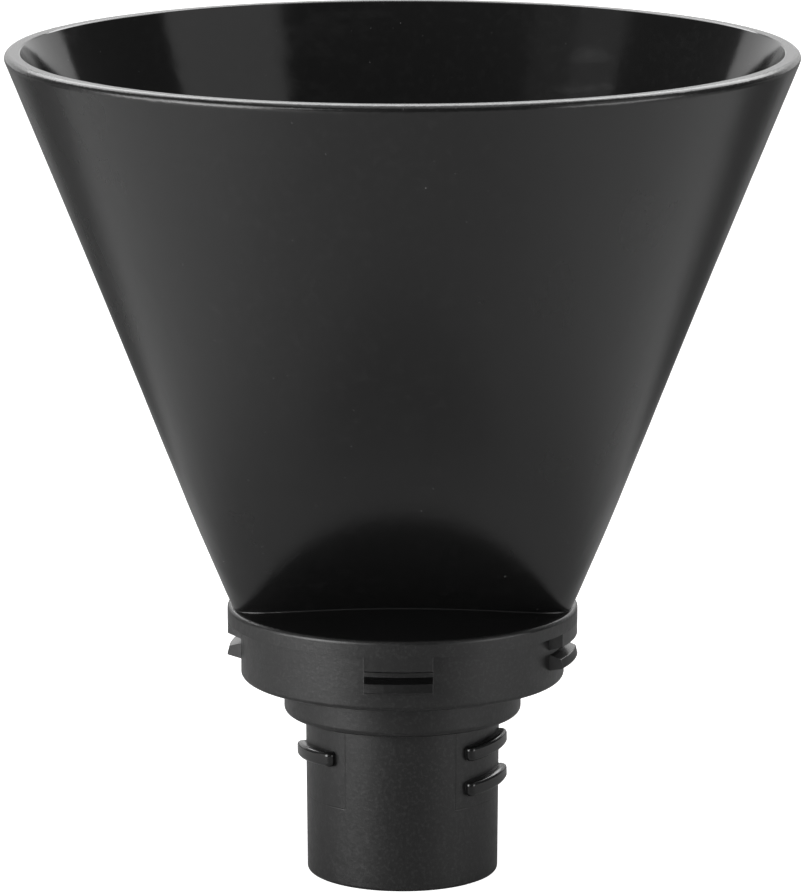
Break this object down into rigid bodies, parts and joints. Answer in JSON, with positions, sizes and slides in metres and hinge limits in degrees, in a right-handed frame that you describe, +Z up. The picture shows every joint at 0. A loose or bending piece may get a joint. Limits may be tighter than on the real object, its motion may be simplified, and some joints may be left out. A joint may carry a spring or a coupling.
{
  "type": "filter funnel",
  "caption": "Conical drip-filter funnel with a wedge-shaped foot and a stepped, lugged neck that screws into an insulated jug.",
  "frame": {"origin": "centre of the spout's outlet end, on the funnel's axis", "axes": "+Z up the funnel's axis towards the rim, X along the wedge at the foot of the cone, -Y towards the front lug group"},
  "size_m": [0.1344, 0.134, 0.1428],
  "materials": {
    "cone_plastic": "satin outside, polished inside",
    "collar_plastic": "fine spark texture, satin disc",
    "spout_plastic": "fine spark texture"
  },
  "bodies": {
    "funnel": {"filter_cone": "cone_plastic", "jug_collar": "collar_plastic", "stepped_spout": "spout_plastic"}
  },
  "joints": []
}
